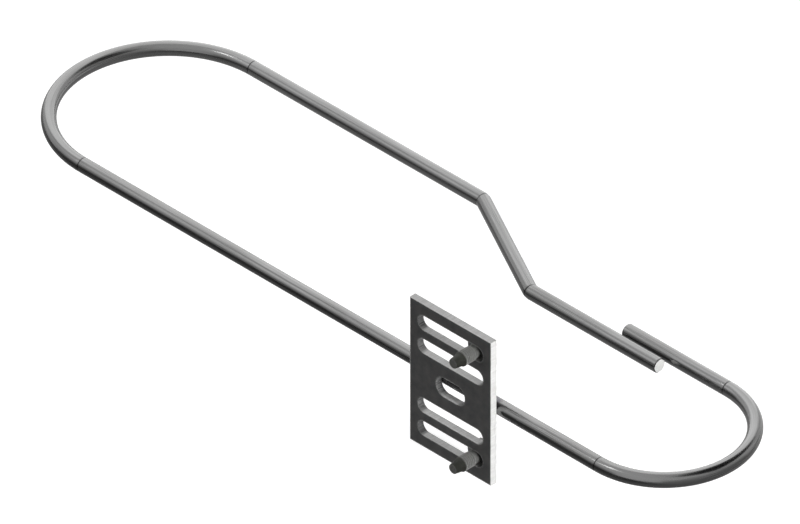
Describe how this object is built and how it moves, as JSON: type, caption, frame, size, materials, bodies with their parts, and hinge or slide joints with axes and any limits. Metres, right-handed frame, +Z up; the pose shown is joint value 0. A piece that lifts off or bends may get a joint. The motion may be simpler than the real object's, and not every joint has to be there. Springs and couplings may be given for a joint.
{
  "type": "shunting handle",
  "caption": "Long flat loop of bent round bar with overlapping ends, welded to a slotted mounting plate that is bolted on through its outer slots.",
  "frame": {"origin": "centre of the mounting plate's front face, the face that is bolted on", "axes": "+X along the loop's length towards its short bend, -Y out of the mounting face along the bolts, +Z up along the plate"},
  "size_m": [0.715, 0.2195, 0.13],
  "materials": {
    "bar_steel": "bright drawn steel, satin",
    "plate_steel": "dark mill scale with bright cut edges",
    "weld_metal": "rippled weld bead",
    "bolt_steel": "black oxide",
    "washer_steel": "zinc plated, satin"
  },
  "bodies": {
    "root": {"handle_bar": "bar_steel", "mounting_plate": "plate_steel", "weld_upper_left": "weld_metal", "weld_upper_right": "weld_metal", "weld_lower_left": "weld_metal", "weld_lower_right": "weld_metal", "bolt_upper": "bolt_steel", "bolt_lower": "bolt_steel", "washer_upper": "washer_steel", "washer_lower": "washer_steel"}
  },
  "joints": []
}
